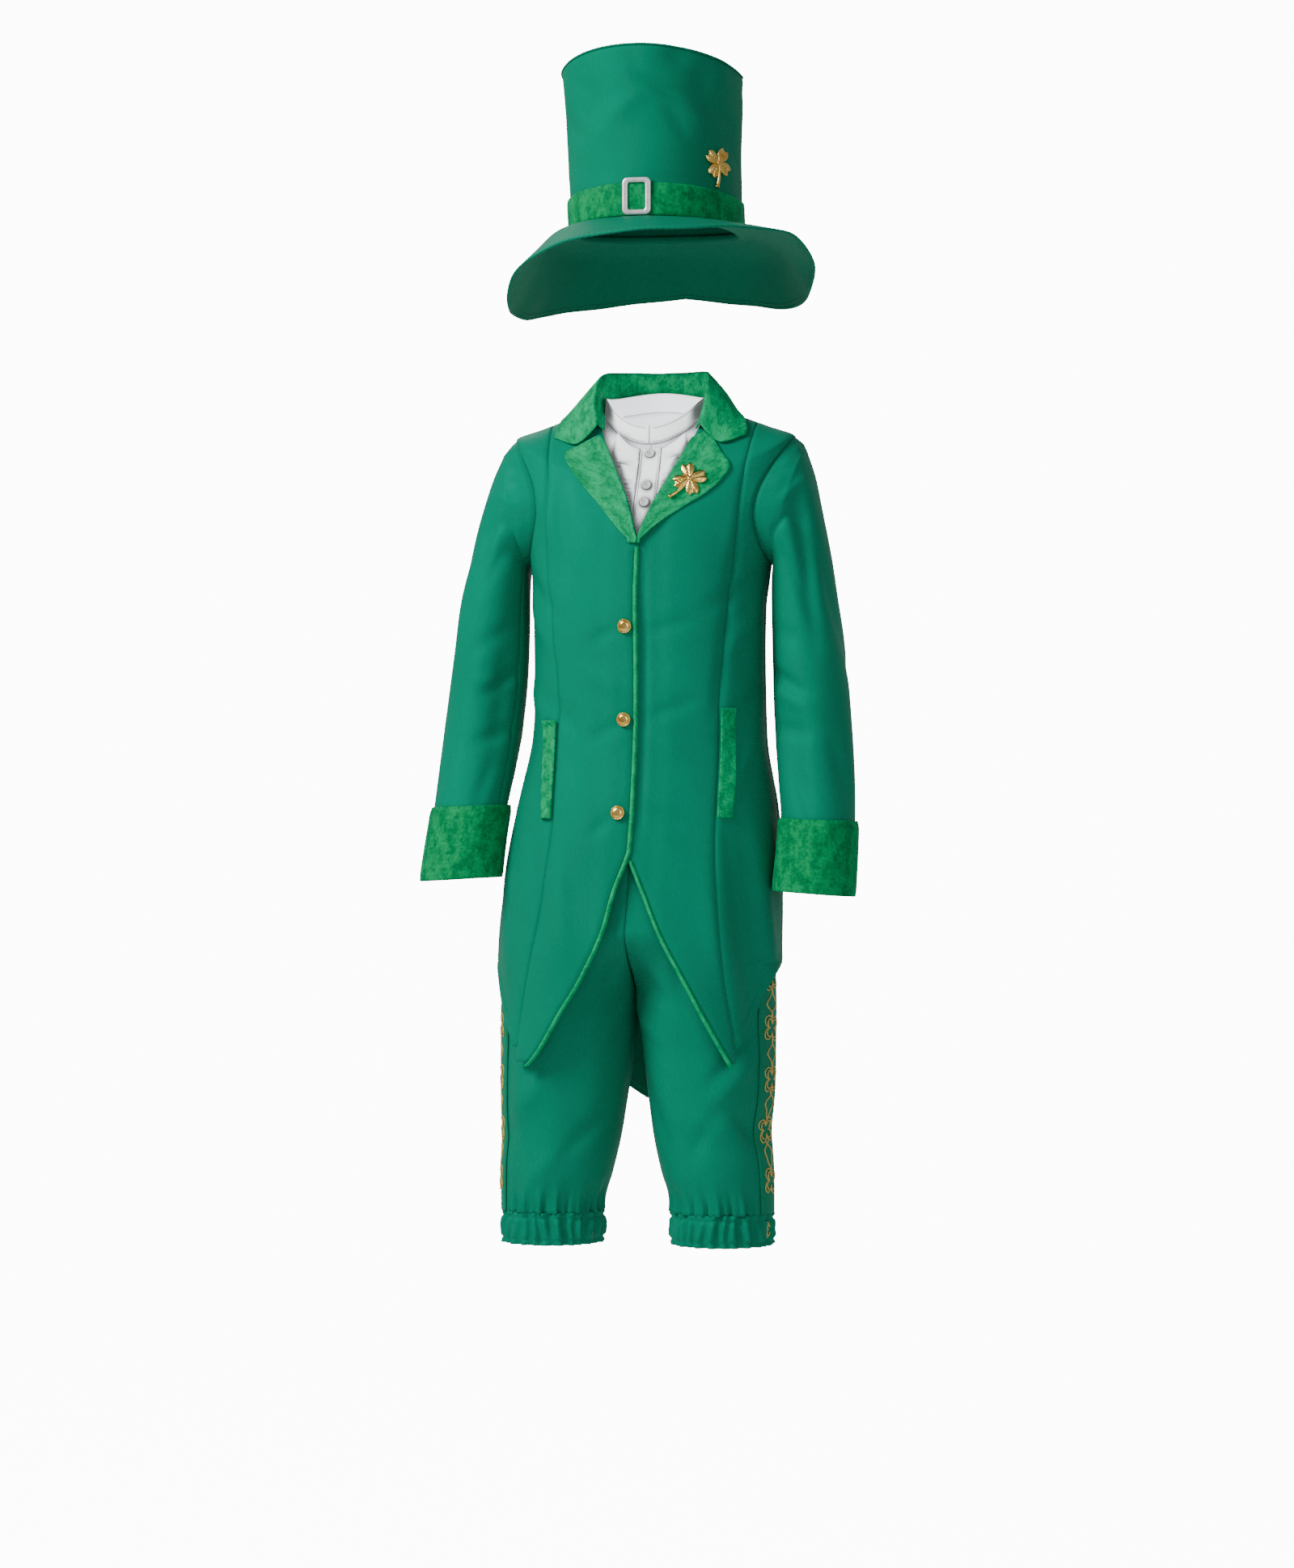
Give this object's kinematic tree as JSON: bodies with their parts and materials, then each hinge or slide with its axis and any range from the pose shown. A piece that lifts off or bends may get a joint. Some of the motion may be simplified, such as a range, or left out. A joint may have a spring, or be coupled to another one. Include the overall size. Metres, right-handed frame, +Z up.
{
  "type": "saint patricks day costume",
  "caption": "Child's green tailcoat with velvet collar and cuffs, knee breeches, ruffled white shirt front and tall brimmed hat with buckle and clover.",
  "frame": {"origin": "base of the neck, on the middle of the body at the height where the shoulders carry the coat", "axes": "+Z up along the body, the front faces -Y, the wearer's left is at +X"},
  "size_m": [0.4038, 0.3277, 1.0959],
  "materials": {
    "green_twill": "smooth woven polyester twill, soft sheen",
    "green_velvet": "short pile velvet",
    "white_cotton": "plain white poplin",
    "green_braid": "woven tape with gold cord outlines",
    "gold": "bright gold plating",
    "silver_metal": "pale polished metal",
    "pearl_plastic": "glossy white"
  },
  "bodies": {
    "root": {"coat_front_right": "green_twill", "coat_front_left": "green_twill", "coat_side_front_right": "green_twill", "coat_side_front_left": "green_twill", "coat_back_right": "green_twill", "coat_back_left": "green_twill", "top_sleeve_right": "green_twill", "top_sleeve_left": "green_twill", "under_sleeve_right": "green_twill", "under_sleeve_left": "green_twill", "edge_binding_right": "green_velvet", "edge_binding_left": "green_velvet", "cuff_right": "green_velvet", "cuff_left": "green_velvet", "lapel_right": "green_velvet", "lapel_left": "green_velvet", "collar": "green_velvet", "pocket_welt_right": "green_velvet", "pocket_welt_left": "green_velvet", "coat_button_1": "gold", "coat_button_2": "gold", "coat_button_3": "gold", "lapel_clover": "gold", "shirt_front_right": "white_cotton", "shirt_front_left": "white_cotton", "shirt_yoke": "white_cotton", "shirt_placket": "white_cotton", "shirt_collar": "white_cotton", "ruffle_right": "white_cotton", "ruffle_left": "white_cotton", "shirt_button_1": "pearl_plastic", "shirt_button_2": "pearl_plastic", "shirt_button_3": "pearl_plastic", "breeches_front_right": "green_twill", "breeches_front_left": "green_twill", "breeches_back_right": "green_twill", "breeches_back_left": "green_twill", "side_tape_right": "green_braid", "side_tape_left": "green_braid", "knee_band_right": "green_twill", "knee_band_left": "green_twill", "waistband": "green_twill", "hat_crown": "green_twill", "hat_tip": "green_twill", "hat_brim": "green_twill", "hat_band": "green_velvet", "hat_buckle": "silver_metal", "hat_clover": "gold"}
  },
  "joints": []
}
